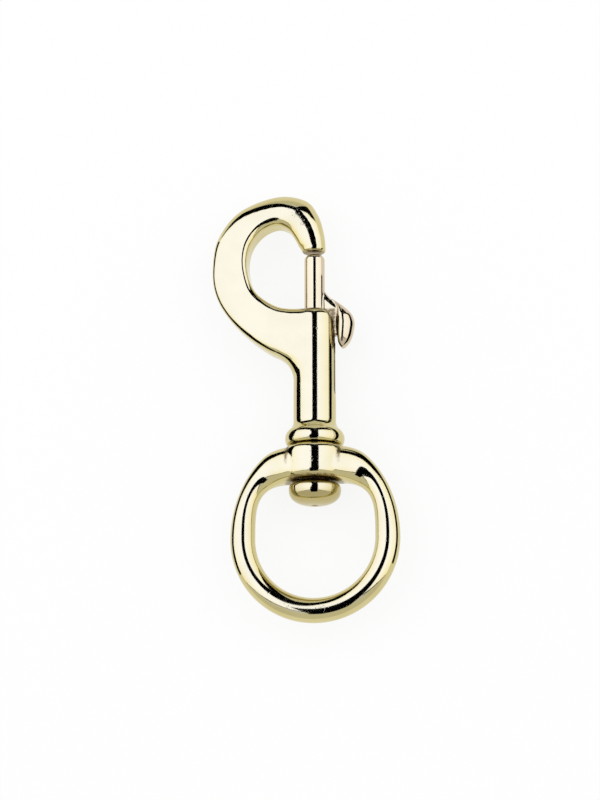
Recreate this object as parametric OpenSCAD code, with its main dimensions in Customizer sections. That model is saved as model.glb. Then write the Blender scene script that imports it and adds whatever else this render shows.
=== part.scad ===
// Bolt snap with a swivel eye, cast in brass and polished.
// Lengths are in millimetres. The snap lies on Z = 0, its hook towards +Y and its thumb lever on the +X side.

/* [Hook] */
// Reach of the hook's back from the barrel axis
hook_reach = 22.2; // [20:0.1:25]
// Height of the hook above the top of the barrel
hook_h = 25.75; // [23:0.05:29]
// Thickness of the hook where it leaves the barrel
hook_root_t = 8.4; // [7.4:0.1:8.7]
// Thickness of the hook along its back
hook_back_t = 4.5; // [3.6:0.1:6]
// Unit of the rounding along the hook's edges
hook_round = 1; // [0.7:0.05:1.1]
// Rounding at the end of the nose
nose_round = 0.8; // [0.4:0.05:1.2]

/* [Barrel] */
// Radius of the barrel
barrel_r = 4.55; // [4.5:0.05:5]
// Length of the barrel with its collar
barrel_len = 30; // [29:0.1:34]
// Radius of the collar's bead at the foot of the barrel
collar_r = 6.35; // [6.2:0.05:6.6]
// Height of the cove between the barrel and the bead
cove_h = 1.7; // [1.2:0.1:2.4]
// Height of the collar's bead
bead_h = 3.4; // [2.8:0.1:3.6]
// Radius of the bead's round face
bead_r = 2.5; // [2.3:0.1:3.2]
// Width of the slot that the lever's neck runs in
slot_w = 2.6; // [2.2:0.05:3]
// Length of the slot from the top of the barrel
slot_len = 19.1; // [18:0.1:19.6]
// Half width of the slot's flared mouth at the top
mouth_half = 3.4; // [2.4:0.1:3.6]
// Length of the slot's flared mouth
mouth_len = 8.5; // [4:0.1:10]

/* [Bolt] */
// Radius of the sliding bolt
bolt_r = 2.2; // [1.9:0.05:2.3]
// Length of the bolt below the top of the barrel, at rest
bolt_tail = 7.5; // [7:0.1:8]
// Outermost reach of the thumb lever from the barrel axis
lever_reach = 8.67; // [8:0.05:10]
// Drop of the thumb lever's tip below the top of the barrel
lever_drop = 8.85; // [7.5:0.05:9.5]
// Thickness of the thumb lever
lever_t = 5.4; // [4:0.1:6]

/* [Spring] */
// Diameter of the spring wire
wire_d = 0.5; // [0.4:0.05:0.5]
// Turns between the two closed end coils
spring_turns = 7; // [5:1:7]

/* [Swivel] */
// Radius of the pin where the eye turns on it
journal_r = 3; // [2.7:0.05:3.4]
// Depth that the pin is pressed into the barrel
press_depth = 5; // [4.6:0.1:5.2]
// Radius of the pin's button head
button_r = 5.55; // [5:0.05:6]
// Height of the pin's button head
button_h = 4.6; // [3:0.1:5]
// Radius of the centre dimple in the button
dimple_r = 0.7; // [0.4:0.05:1]
// Radius of the eye's boss
boss_r = 6.7; // [6.4:0.05:7.4]
// Height of the eye's boss
boss_h = 7.5; // [6.8:0.1:8.2]
// Rounding at the top edge of the boss
boss_top_round = 1.6; // [0.8:0.05:1.8]
// Rounding at the lower edge of the boss
boss_low_round = 1.7; // [0.8:0.05:2]
// Radius inside the eye
eye_in_r = 12.7; // [11.5:0.05:14]
// Diameter of the eye's round bar
eye_bar_d = 5.3; // [4.6:0.05:6]
// Distance from the foot of the barrel to the centre of the eye
eye_drop = 19.8; // [19.2:0.1:21.5]

/* [Clearances] */
// Radial clearance of the bolt in its bore
bolt_clear = 0.06; // [0.03:0.01:0.09]
// Clearance of the lever's neck on each side of the slot
neck_clear = 0.2; // [0.1:0.05:0.3]
// Clearance between the lever and the barrel
lever_clear = 0.4; // [0.3:0.05:0.6]
// Gap between the tip of the bolt and the nose
nose_clear = 0.3; // [0.2:0.05:0.4]
// Gap left at the end of the bolt's travel
stop_clear = 0.2; // [0.1:0.05:0.3]
// Radial clearance of the eye on the pin
swivel_clear = 0.06; // [0.03:0.01:0.09]
// Gap between the boss and the foot of the barrel
collar_gap = 0.2; // [0.1:0.05:0.3]
// Play between the boss and the button head
button_gap = 0.6; // [0.3:0.05:1]
// Gap at each end of the spring
spring_gap = 0.08; // [0.05:0.01:0.15]
// Overrun of every cut
overrun = 1; // [0.5:0.1:2]

/* [Hidden] */
$fn = 64;
brass = [0.80, 0.71, 0.43];
bolt_brass = [0.83, 0.70, 0.47];
spring_steel = [0.62, 0.62, 0.60];

// Stations along the hook from the barrel to the nose. The first four shares place the inner and outer edge,
// across by hook_reach and along by hook_h. Then come inner and outer rounding, fullness, crown and bevel.
hook_station_shares = [
    [-0.045, -0.0136, -0.045, -0.300, 1.0, 1.7, 1.00, 0.00, 0.0],
    [-0.144, -0.0078, -0.153, -0.330, 1.0, 1.7, 1.00, 0.00, 0.0],
    [-0.243, -0.0010, -0.257, -0.365, 1.0, 1.7, 1.00, 0.00, 0.0],
    [-0.351, 0.0175, -0.378, -0.396, 1.0, 1.6, 1.00, 0.00, 0.0],
    [-0.473, 0.0757, -0.649, -0.229, 1.0, 0.9, 1.00, 0.00, 0.0],
    [-0.577, 0.1630, -0.856, -0.033, 1.0, 0.7, 1.00, 0.00, 0.0],
    [-0.637, 0.2910, -0.973, 0.171, 1.0, 0.7, 1.00, 0.00, 0.0],
    [-0.653, 0.4350, -1.000, 0.396, 1.1, 0.9, 1.00, 0.00, 0.2],
    [-0.613, 0.5710, -0.950, 0.652, 1.3, 1.9, 1.00, 0.00, 0.8],
    [-0.509, 0.6800, -0.739, 0.882, 1.5, 3.1, 0.97, 0.05, 1.0],
    [-0.369, 0.7300, -0.369, 0.998, 1.6, 3.7, 0.89, 0.15, 1.0],
    [-0.257, 0.6950, -0.086, 0.955, 1.7, 3.6, 0.78, 0.30, 1.0],
    [-0.194, 0.6250, 0.040, 0.819, 1.6, 2.7, 0.65, 0.45, 0.9],
    [-0.149, 0.5510, 0.097, 0.645, 1.5, 1.8, 0.52, 0.60, 0.5],
    [-0.126, 0.5240, 0.108, 0.524, 1.5, 1.5, 0.43, 0.65, 0.2]
];
// How much a full bevel takes off the roundness of an edge, and its depth by the half thickness
bevel_share = 0.4;
bevel_depth_share = 0.84;
// Outline of the swelling where the web runs out on the barrel: across by hook_reach, along by hook_h.
// The last number says how square its section is.
swell_shares = [
    [-0.200, -0.621, 2.0],
    [-0.206, -0.583, 2.1],
    [-0.218, -0.544, 2.3],
    [-0.237, -0.505, 2.6],
    [-0.268, -0.466, 3.1],
    [-0.302, -0.439, 3.7],
    [-0.338, -0.416, 4.5],
    [-0.372, -0.395, 5.5],
    [-0.425, -0.360, 7.0],
    [-0.470, -0.325, 8.0],
    [-0.470, -0.210, 8.0]
];
// Thickness of the swelling, by the hook's own
swell_thick_share = 0.992;
swell_steps = 3;
swell_points = 40;
// Share of the reach at which the hook has its root thickness
hook_root_share = 0.09;
// Sections between two stations, and points in each rounded corner
hook_steps = 4;
corner_steps = 5;
nose_steps = 4;

// Rows down the thumb lever: drop by lever_drop, inner and outer edge across its width, half thickness
lever_row_shares = [
    [0.226, -0.373, -0.207, 0.30],
    [0.130, -0.152, 0.124, 0.46],
    [0.023, 0.000, 0.442, 0.67],
    [-0.096, 0.000, 0.732, 0.83],
    [-0.215, 0.000, 0.912, 0.944],
    [-0.384, 0.000, 1.000, 1.00],
    [-0.565, 0.000, 0.948, 0.963],
    [-0.723, 0.010, 0.856, 0.87],
    [-0.859, 0.050, 0.704, 0.685],
    [-0.949, 0.150, 0.525, 0.444],
    [-1.000, 0.270, 0.390, 0.20]
];
// How far the lever's thickest line lies towards its inner edge
lever_lean = 1.5;
lever_steps = 3;
lever_points = 24;
// Top edge of the neck from the bolt to the lever: across by the lever's inner face, up by lever_drop
neck_edge_shares = [[0.34, 0.565], [0.58, 0.294], [1.03, 0.113]];
neck_steps = 8;
// Share of the lever's width that the neck is sunk into it
neck_sink_share = 0.3;

// Steps of the arms from the boss's lower and upper face, by the bar
arm_low_share = 0.04;
arm_top_share = 0.02;
// Full rise of the eye's outer outline, by the height of the boss's top, which then cuts it off
shoulder_rise_share = 1.122;
// How square the upper half of the eye's inner and outer outline is
eye_in_square = 3.8;
eye_out_square = 2;
// Extra depth and extra squareness of the arms beside the boss, and how soon they fade out along the bar
arm_deep_share = 1.3;
arm_square_share = 1.2;
arm_fade = 6;
eye_steps = 72;
bar_points = 20;

// Shares of the bolt's radius and of the button's height used for their rounded ends
bolt_round_share = 0.38;
bolt_dome_share = 0.12;
button_round_share = 0.24;
dimple_depth_share = 0.7;
top_round_share = 0.18;
bead_mid_share = 0.41;
round_steps = 6;
dome_steps = 10;
cove_steps = 6;
bead_steps = 8;
mouth_steps = 8;
mouth_floor_share = 0.35;
// Angle of the spring's closed end coils, and facets of its wire
closed_turn = 250;
wire_fn = 12;

// Fits and places worked out from the sizes above, with the top of the barrel at zero along its axis
bore_r = bolt_r + bolt_clear;
nose_low = hook_h * hook_station_shares[len(hook_station_shares) - 1][1] - nose_round;
bolt_tip = nose_low - nose_clear;
bolt_travel = bolt_tip;
neck_t = slot_w - 2 * neck_clear;
neck_stop = slot_w / 2 - sqrt(pow(slot_w / 2, 2) - pow(neck_t / 2, 2));
neck_low = -slot_len + neck_stop + stop_clear + bolt_travel;
lever_in = barrel_r + lever_clear;
lever_w = lever_reach - lever_in;
pin_top = -barrel_len + press_depth;
boss_top = -barrel_len - collar_gap;
boss_low = boss_top - boss_h;
button_top = boss_low - button_gap;
eye_mid = -barrel_len - eye_drop;
eye_out_r = eye_in_r + eye_bar_d;
eye_low = eye_out_r - eye_mid;
eye_in_rise = boss_low - eye_bar_d * arm_low_share - eye_mid;
eye_out_rise = (boss_top - eye_mid) * shoulder_rise_share;
arm_top = boss_top - eye_bar_d * arm_top_share;
// The frame's origin is under the middle of the snap, on the surface it lies on
axis_x = (hook_reach - eye_out_r) / 2;
axis_y = (eye_low - hook_h) / 2;
axis_z = boss_r;

// Sub-part to draw

// Puts the children on the barrel's axis, X across and Y along it
module at_axis() {
    translate([axis_x, axis_y, axis_z])
        children();
}

// Puts the children on the barrel's axis, Z along it
module along_axis() {
    at_axis()
        rotate([-90, 0, 0])
            children();
}

// Smooth curve through rows of numbers, at row i plus the part t
function row_at(rows, i) = rows[max(0, min(len(rows) - 1, i))];
function blend(a, b, c, d, t) =
    (2 * b + (c - a) * t + (2 * a - 5 * b + 4 * c - d) * t * t + (3 * b - a - 3 * c + d) * t * t * t) / 2;
function curve(rows, i, t) =
    blend(row_at(rows, i - 1), row_at(rows, i), row_at(rows, i + 1), row_at(rows, i + 2), t);
function curve_rows(rows, steps) = [
    for (k = [0 : (len(rows) - 1) * steps])
        curve(rows, min(floor(k / steps), len(rows) - 2), k / steps - min(floor(k / steps), len(rows) - 2))
];

// Power that keeps the sign of its base
function signed_pow(b, e) = sign(b) * pow(abs(b), e);

// Closed skin over rings of points that all have the same count
module skin(rings, closed = false) {
    count = len(rings[0]);
    last = len(rings) - 1;
    sides = [
        for (i = [0 : closed ? last : last - 1])
            for (j = [0 : count - 1])
                let (a = i * count, b = ((i + 1) % (last + 1)) * count, n = (j + 1) % count)
                    each [[a + j, a + n, b + j], [a + n, b + n, b + j]]
    ];
    ends = closed ? [] : [
        [for (j = [count - 1 : -1 : 0]) j],
        [for (j = [0 : count - 1]) last * count + j]
    ];
    polyhedron(points = [for (ring = rings) each ring], faces = concat(sides, ends), convexity = 6);
}

// Half thickness of the hook's two cheeks, which close in towards its back
function cheek(x) =
    let (root = hook_reach * (1 - hook_root_share))
        hook_back_t / 2 + (hook_root_t - hook_back_t) / 2 * min(1, (x + hook_reach) / root);

// Height of the crown on a face, at a share of its width
function crown(row, across) = row[7] * hook_round * sin(180 * across);

// Rounded section of the hook between its inner and its outer edge
function hook_ring(row) =
    let (
        inner = [row[0] * hook_reach, row[1] * hook_h],
        outer = [row[2] * hook_reach, row[3] * hook_h],
        wide = norm(outer - inner),
        way = (outer - inner) / wide,
        in_half = cheek(inner[0]) * row[6],
        out_half = cheek(outer[0]) * row[6],
        in_r = row[4] * hook_round,
        out_r = row[5] * hook_round,
        in_z = min(in_r, in_half * 0.97),
        out_z = min(out_r, out_half * 0.97) * (1 - row[8]) + out_half * bevel_depth_share * row[8],
        power = 1 / (1 - bevel_share * row[8] / 2),
        face = [
            for (j = [0 : corner_steps])
                let (a = 90 * j / corner_steps, in_x = in_r * (1 - cos(a)))
                    [in_x, in_half - in_z * (1 - sin(a)) + crown(row, in_x / wide)],
            for (j = [corner_steps : -1 : 0])
                let (a = 90 * j / corner_steps, out_x = out_r * (1 - pow(cos(a), power)))
                    [wide - out_x, out_half - out_z * (1 - pow(sin(a), power)) + crown(row, out_x / wide)]
        ]
    )
    concat(
        [for (p = face) [inner[0] + way[0] * p[0], inner[1] + way[1] * p[0], p[1]]],
        [for (j = [len(face) - 1 : -1 : 0])
            [inner[0] + way[0] * face[j][0], inner[1] + way[1] * face[j][0], -face[j][1]]]
    );

// Ring of the nose's rounded end, drawn in towards its middle and moved down by part of the rounding
function nose_ring(ring, a) =
    let (
        xs = [for (p = ring) p[0]],
        mid = (max(xs) + min(xs)) / 2,
        half = (max(xs) - min(xs)) / 2,
        keep = 1 - nose_round * (1 - cos(a)) / half
    )
    [for (p = ring) [mid + (p[0] - mid) * keep, p[1] - nose_round * sin(a), p[2] * keep]];

module hook_loft() {
    rings = [for (row = curve_rows(hook_station_shares, hook_steps)) hook_ring(row)];
    tip = rings[len(rings) - 1];
    skin(concat(rings, [for (k = [1 : nose_steps]) nose_ring(tip, 90 * k / nose_steps)]));
}

// Swelling of the barrel where the web's lower edge runs out on it
module web_swell() {
    skin([
        for (row = curve_rows(swell_shares, swell_steps))
            [for (j = [0 : swell_points - 1])
                let (
                    a = 360 * j / swell_points,
                    side = cos(a) < 0 ? -row[0] * hook_reach : bore_r,
                    x = side * signed_pow(cos(a), 2 / row[2])
                )
                    [x, row[1] * hook_h, cheek(x) * swell_thick_share * signed_pow(sin(a), 2 / row[2])]]
    ]);
}

// Barrel with a rounded top edge and the beaded collar at its foot
module barrel() {
    top_round = barrel_r * top_round_share;
    bead_mid = bead_h * bead_mid_share;
    bead_top = asin((bead_h - bead_mid) / bead_r);
    bead_foot = asin(bead_mid / bead_r);
    neck_r = collar_r - bead_r * (1 - cos(bead_top));
    rotate_extrude()
        polygon(concat(
            [[0, -barrel_len], [0, 0]],
            [for (k = [0 : round_steps])
                let (a = 90 * k / round_steps)
                    [barrel_r - top_round * (1 - sin(a)), -top_round * (1 - cos(a))]],
            [for (k = [0 : cove_steps - 1])
                let (t = k / cove_steps)
                    [barrel_r + (neck_r - barrel_r) * t * t, bead_h + cove_h * (1 - t) - barrel_len]],
            [for (k = [0 : bead_steps])
                let (a = bead_top - (bead_top + bead_foot) * k / bead_steps)
                    [collar_r - bead_r * (1 - cos(a)), bead_mid + bead_r * sin(a) - barrel_len]]
        ));
}

// Slot for the lever's neck, open at the top of the barrel, with its flared mouth
module slot_cut() {
    mouth_floor = barrel_r * mouth_floor_share;
    translate([0, -slot_w / 2, slot_w / 2 - slot_len])
        cube([barrel_r + overrun, slot_w, slot_len - slot_w / 2 + overrun]);
    translate([0, 0, slot_w / 2 - slot_len])
        rotate([0, 90, 0])
            cylinder(r = slot_w / 2, h = barrel_r + overrun);
    translate([mouth_floor, 0, 0])
        rotate([90, 0, 90])
            linear_extrude(height = barrel_r + overrun)
                polygon(concat(
                    [for (k = [0 : mouth_steps])
                        [slot_w / 2 + (mouth_half - slot_w / 2) * pow(k / mouth_steps, 2),
                            mouth_len * (k / mouth_steps - 1)]],
                    [[mouth_half, overrun], [-mouth_half, overrun]],
                    [for (k = [mouth_steps : -1 : 0])
                        [-slot_w / 2 - (mouth_half - slot_w / 2) * pow(k / mouth_steps, 2),
                            mouth_len * (k / mouth_steps - 1)]]
                ));
}

module hook_body() {
    color(brass)
        difference() {
            union() {
                at_axis() {
                    hook_loft();
                    web_swell();
                }
                along_axis()
                    barrel();
            }
            along_axis() {
                translate([0, 0, -barrel_len - overrun])
                    cylinder(r = bore_r, h = barrel_len + 2 * overrun);
                slot_cut();
            }
        }
}

// Section of the thumb lever
function lever_ring(row) =
    let (
        inner = lever_in + lever_w * row[1],
        outer = lever_in + lever_w * row[2],
        half = lever_t / 2 * row[3]
    )
    [for (j = [0 : lever_points - 1])
        let (a = 360 * j / lever_points, across = pow((1 - cos(a)) / 2, lever_lean))
            [inner + (outer - inner) * across, row[0] * lever_drop, half * sin(a)]];

// Point on the neck's hollow top edge
function neck_edge(t) =
    let (
        s = neck_edge_shares,
        p = s[0] * (1 - t) * (1 - t) + s[1] * 2 * t * (1 - t) + s[2] * t * t
    )
    [p[0] * lever_in, p[1] * lever_drop];

module bolt() {
    round_r = bolt_r * bolt_round_share;
    dome = bolt_r * bolt_dome_share;
    neck_out = lever_in + lever_w * neck_sink_share;
    color(bolt_brass)
        union() {
            along_axis()
                rotate_extrude()
                    polygon(concat(
                        [[0, -bolt_tail], [bolt_r - dome, -bolt_tail], [bolt_r, dome - bolt_tail]],
                        [for (k = [0 : round_steps])
                            let (a = 90 * k / round_steps)
                                [bolt_r - round_r * (1 - cos(a)), bolt_tip - dome - round_r * (1 - sin(a))]],
                        [[0, bolt_tip]]
                    ));
            at_axis()
                translate([0, 0, -neck_t / 2])
                    linear_extrude(height = neck_t)
                        polygon(concat(
                            [[0, neck_low], [0, neck_edge(0)[1]]],
                            [for (k = [0 : neck_steps]) neck_edge(k / neck_steps)],
                            [[neck_out, 0], [neck_out, neck_low]]
                        ));
            at_axis()
                skin([for (row = curve_rows(lever_row_shares, lever_steps)) lever_ring(row)]);
        }
}

// Part of a turn of wire that starts on the +X side
module wire_turn(mid_r, angle) {
    rotate_extrude(angle = angle, $fn = wire_fn)
        translate([mid_r, 0])
            circle(d = wire_d, $fn = wire_fn);
}

// Half a turn of wire, tilted so that it climbs by rise
module half_turn(mid_r, rise) {
    tilt = atan(rise / (2 * mid_r));
    rotate([0, tilt, 0])
        wire_turn(mid_r / cos(tilt), 180);
}

// Compression spring with a closed coil at each end
module bolt_spring() {
    mid_r = bolt_r - wire_d;
    low = pin_top + spring_gap + wire_d / 2;
    high = -bolt_tail - spring_gap - wire_d / 2;
    rise = (high - low) / (2 * spring_turns);
    color(spring_steel)
        along_axis()
            union() {
                translate([0, 0, low])
                    mirror([0, 1, 0])
                        wire_turn(mid_r, closed_turn);
                for (k = [0 : 2 * spring_turns - 1])
                    translate([0, 0, low + rise * (k + 0.5)])
                        rotate([0, 0, 180 * k])
                            half_turn(mid_r, rise);
                translate([0, 0, high])
                    wire_turn(mid_r, closed_turn);
            }
}

// Headed pin, pressed into the barrel, that the eye turns on
module swivel_pin() {
    edge = button_h * button_round_share;
    dome = button_h - edge;
    foot = button_top - button_h;
    dimple_at = acos(dimple_r / button_r);
    color(brass)
        along_axis()
            rotate_extrude()
                polygon(concat(
                    [[0, pin_top], [bore_r, pin_top], [bore_r, -barrel_len], [journal_r, -barrel_len],
                        [journal_r, button_top]],
                    [for (k = [0 : round_steps])
                        let (a = 90 * k / round_steps)
                            [button_r - edge * (1 - sin(a)), button_top - edge * (1 - cos(a))]],
                    [for (k = [1 : dome_steps])
                        let (a = dimple_at * k / dome_steps)
                            [button_r * cos(a), foot + dome * (1 - sin(a))]],
                    [[0, foot + dimple_r * dimple_depth_share]]
                ));
}

// Point on the eye's outline: round below its centre, squarer above it and cut off at the top of the arms
function eye_point(r, rise, square, a) =
    sin(a) > 0
        ? [r * signed_pow(cos(a), 2 / square), min(eye_mid + rise * pow(sin(a), 2 / square), arm_top)]
        : [r * cos(a), eye_mid + r * sin(a)];

// Section of the eye's bar, deeper and squarer in the arms beside the boss
function eye_ring(a) =
    let (
        inner = eye_point(eye_in_r, eye_in_rise, eye_in_square, a),
        outer = eye_point(eye_out_r, eye_out_rise, eye_out_square, a),
        mid = (inner + outer) / 2,
        half = (outer - inner) / 2,
        arm = pow(max(0, sin(a)), arm_fade),
        deep = eye_bar_d / 2 * (1 + arm_deep_share * arm),
        power = 2 / (2 + arm_square_share * arm)
    )
    [for (j = [0 : bar_points - 1])
        let (b = 360 * j / bar_points, across = signed_pow(cos(b), power))
            [mid[0] + half[0] * across, mid[1] + half[1] * across, deep * signed_pow(sin(b), power)]];

module swivel_eye() {
    color(brass)
        difference() {
            union() {
                along_axis()
                    rotate_extrude()
                        polygon(concat(
                            [[0, boss_low], [0, boss_top]],
                            [for (k = [0 : round_steps])
                                let (a = 90 * k / round_steps)
                                    [boss_r - boss_top_round * (1 - sin(a)),
                                        boss_top - boss_top_round * (1 - cos(a))]],
                            [for (k = [0 : round_steps])
                                let (a = 90 * k / round_steps)
                                    [boss_r - boss_low_round * (1 - cos(a)),
                                        boss_low + boss_low_round * (1 - sin(a))]]
                        ));
                at_axis()
                    skin([for (k = [0 : eye_steps - 1]) eye_ring(360 * k / eye_steps)], closed = true);
            }
            along_axis()
                translate([0, 0, boss_low - overrun])
                    cylinder(r = journal_r + swivel_clear, h = boss_h + 2 * overrun);
        }
}

hook_body();
bolt();
bolt_spring();
swivel_pin();
swivel_eye();
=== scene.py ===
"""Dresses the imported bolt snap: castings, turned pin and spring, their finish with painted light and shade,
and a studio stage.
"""

import math

import bmesh
import bpy
import numpy as np
from bpy.props import FloatProperty, FloatVectorProperty, IntProperty, PointerProperty
from mathutils import Matrix, Vector


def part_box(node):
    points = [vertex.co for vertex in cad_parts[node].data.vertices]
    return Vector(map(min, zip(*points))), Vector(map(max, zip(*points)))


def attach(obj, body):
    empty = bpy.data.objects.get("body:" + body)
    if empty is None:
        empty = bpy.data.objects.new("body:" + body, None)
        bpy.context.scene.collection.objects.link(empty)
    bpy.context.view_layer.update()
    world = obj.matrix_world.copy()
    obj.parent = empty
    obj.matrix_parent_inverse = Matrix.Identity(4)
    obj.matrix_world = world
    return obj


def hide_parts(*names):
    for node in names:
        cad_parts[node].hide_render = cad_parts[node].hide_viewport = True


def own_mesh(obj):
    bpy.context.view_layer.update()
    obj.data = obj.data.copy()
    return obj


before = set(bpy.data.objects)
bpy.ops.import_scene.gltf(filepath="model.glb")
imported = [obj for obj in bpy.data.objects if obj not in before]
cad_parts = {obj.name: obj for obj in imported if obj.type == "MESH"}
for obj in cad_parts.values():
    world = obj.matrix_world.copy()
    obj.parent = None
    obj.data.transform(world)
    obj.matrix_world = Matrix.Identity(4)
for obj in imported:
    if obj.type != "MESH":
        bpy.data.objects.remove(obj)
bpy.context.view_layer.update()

bl_info = {
    "name": "Brass bolt snap",
    "version": (1, 0, 0),
    "blender": (4, 5, 0),
    "location": "3D View > Sidebar > Bolt snap",
    "description": "Dresses a bolt snap with a swivel eye as polished brass castings on a studio floor",
    "category": "Add Mesh",
}

# The drawing is made in millimetres and set in metres at the end
MM = 1000.0

# Stations along the hook from the barrel to the nose: inner edge, outer edge, inner and outer rounding,
# fullness, crown of the faces, and how far the outer edge is a broad bevel
HOOK_STATIONS = (
    (-0.045, -0.0136, -0.045, -0.300, 2.0, 1.7, 1.00, 0.00, 0.0),
    (-0.144, -0.0120, -0.153, -0.330, 2.0, 1.7, 1.00, 0.00, 0.0),
    (-0.243, -0.0060, -0.257, -0.365, 1.9, 1.7, 1.00, 0.00, 0.0),
    (-0.351, 0.0150, -0.378, -0.396, 1.7, 1.6, 1.00, 0.00, 0.0),
    (-0.473, 0.0757, -0.649, -0.229, 1.4, 1.4, 1.00, 0.00, 0.0),
    (-0.577, 0.1630, -0.856, -0.033, 1.2, 1.3, 1.00, 0.00, 0.0),
    (-0.637, 0.2910, -0.973, 0.171, 1.0, 1.3, 1.00, 0.00, 0.0),
    (-0.653, 0.4350, -1.000, 0.396, 1.1, 1.4, 1.00, 0.00, 0.2),
    (-0.613, 0.5710, -0.950, 0.652, 1.3, 1.9, 1.00, 0.00, 0.8),
    (-0.509, 0.6800, -0.739, 0.882, 1.5, 3.1, 0.97, 0.05, 1.0),
    (-0.369, 0.7300, -0.369, 0.998, 1.6, 3.7, 0.89, 0.15, 1.0),
    (-0.257, 0.6950, -0.086, 0.955, 1.7, 3.6, 0.78, 0.30, 1.0),
    (-0.194, 0.6250, 0.040, 0.819, 1.6, 2.7, 0.65, 0.45, 0.9),
    (-0.149, 0.5510, 0.097, 0.645, 1.5, 1.8, 0.52, 0.60, 0.5),
    (-0.126, 0.5240, 0.108, 0.524, 1.5, 1.5, 0.43, 0.65, 0.2),
)
# Outline of the swelling where the web runs out on the barrel: across by the hook's reach, along by its
# height, and how square its section is
SWELL = ((-0.200, -0.621, 2.0), (-0.206, -0.583, 2.1), (-0.218, -0.544, 2.3), (-0.237, -0.505, 2.6),
         (-0.268, -0.466, 3.1), (-0.302, -0.439, 3.7), (-0.338, -0.416, 4.5), (-0.372, -0.395, 5.5),
         (-0.425, -0.360, 7.0), (-0.470, -0.325, 8.0), (-0.470, -0.210, 8.0))
# Rows down the thumb lever: drop, inner and outer edge across its width, half thickness
LEVER_ROWS = (
    (0.226, -0.373, -0.207, 0.30),
    (0.130, -0.152, 0.124, 0.46),
    (0.023, 0.000, 0.442, 0.67),
    (-0.096, 0.000, 0.732, 0.83),
    (-0.215, 0.000, 0.912, 0.944),
    (-0.384, 0.000, 1.000, 1.00),
    (-0.565, 0.000, 0.948, 0.963),
    (-0.723, 0.010, 0.856, 0.87),
    (-0.859, 0.050, 0.704, 0.685),
    (-0.949, 0.150, 0.525, 0.444),
    (-1.000, 0.270, 0.390, 0.20),
)
# Top edge of the lever's neck: across by the lever's inner face, up by the lever's drop
NECK_EDGE = ((0.34, 0.565), (0.58, 0.294), (1.03, 0.113))

# Skin of the castings: grid in millimetres, rounds of softening, rounds of filling the inner corners
CAST_GRID = (0.195, 3, 64)
BOLT_GRID = (0.11, 3, 90)
# Share of the way to its neighbours' mean that a vertex moves in one round
EASE_STEP = 0.5
# How hollow a corner is before it is filled, and how soon it is filled in full
HOLLOW_START = 0.25
HOLLOW_GAIN = 14
# Place, reach, weight and rounds of the easing at the foot of the web, in millimetres from the barrel's top
WEB_FOOT = (-6.5, -10.5)
WEB_FOOT_REACH = (3.5, 4.5)
WEB_FOOT_WEIGHT = 1.8
WEB_FOOT_ROUNDS = 57
# How fast a face's painted light gives way to painted shade as the face turns across or along the snap
SHADE_ACROSS = 0.75
SHADE_ALONG = 2.6
# Depth of painted shade in a hidden seat in millimetres, and the rounds over which it thins out
SEAT_DEPTH = 0.3
SEAT_ROUNDS = 6
# Rounds that find the corners of the castings, the bolt and the pin, for their painted shade
CAST_CORNERS, BOLT_CORNERS, PIN_CORNERS = 9, 16, 2

# Overrun of a cut past the face it opens, reach of the slot's cut, and inner end of a turned blank
OVERRUN = 1
SLOT_REACH = 8
CORE_SHARE = 0.5
# Hook: most of a cheek that a rounding takes, the bevel's depth and sharpness, span of the cheeks' taper,
# and inset of the swelling
ROUND_LIMIT_SHARE = 0.97
BEVEL_DEPTH_SHARE = 0.84
BEVEL_SHARP_SHARE = 0.2
CHEEK_SPAN_SHARE = 0.91
SWELL_INSET_SHARE = 0.998
# Barrel: rounding and drop of its lip, middle of its bead, and where the mouth's cut starts
LIP_ROUND_SHARE = 0.42
LIP_DROP_SHARE = 0.077
BEAD_MID_SHARE = 0.41
MOUTH_START_SHARE = 0.35
# Bolt: rounding and dome of its tip, the neck's end, edge and width, lean of the lever
TIP_ROUND_SHARE = 0.5
TIP_DOME_SHARE = 0.12
NECK_END_SHARE = 0.3
NECK_ROUND_SHARE = 1.2
NECK_WAIST_SHARE = 0.78
NECK_SPREAD_SHARE = 0.38
LEVER_LEAN = 1.5
# Spring: gap at each end in millimetres, and turns of a closed end
SPRING_GAP = 0.08
CLOSED_TURNS = 250 / 360
# Pin: radius, chamfer and step of the press fit, edge of the journal, fillet of the head, in millimetres,
# and the button's edge, dome and dimple
PRESS_R = 2.26
PRESS_CHAMFER = 0.25
PRESS_STEP = 0.05
JOURNAL_EDGE = 0.1
HEAD_FILLET = 0.12
BUTTON_EDGE_SHARE = 0.24
DOME_POWER = 0.8
DIMPLE_DEPTH_SHARE = 0.7
DIMPLE_END = 0.001
# Eye: clearance of its bore in millimetres, and how its arms flatten, widen and deepen towards the boss
EYE_BORE_CLEAR = 0.12
ARM_TOP_SHARE = 0.02
ARM_FOOT_SHARE = 0.04
ARM_SOFT_SHARE = 0.45
EYE_IN_SQUARE = 3.8
EYE_OUT_SQUARE = 2.0
EYE_OUT_RISE_SHARE = 1.122
ARM_START = 10
ARM_DEEP_SHARE = 1.1
ARM_SQUARE = 1.2

# Stage: half the floor's side, the lamps' distance and the dark strip's distance in metres
FLOOR_HALF = 4.0
LAMP_FAR = 0.6
STRIP_FAR = 0.4
# Outer edge and rise of the lamps in degrees
LAMP_OUTER = 86
LAMP_RISE = 14
# Flags along the lamps: where they start, how far they run, the foot flag's width, and their gap in metres
FLAG_START_SHARE = 0.98
HEAD_FLAG_SHARE = 1.25
FOOT_FLAG_SHARE = 1.1
FOOT_FLAG_WIDE_SHARE = 0.14
FLAG_GAP = 0.01
# Dark strip between the lamps in degrees: its ends and middle along the snap, its half length, its flare
STRIP_HEAD, STRIP_FOOT, STRIP_MID = 56, -32, 28
STRIP_PLAIN = 24
STRIP_FLARE = 8
# Point that the camera looks at in metres: its height, and its shift up and to the left in the picture
AIM_HEIGHT = 0.0067
AIM_SHIFT = 0.00107
# Width of the camera's sensor in millimetres
SENSOR_WIDTH = 36.0
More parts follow.
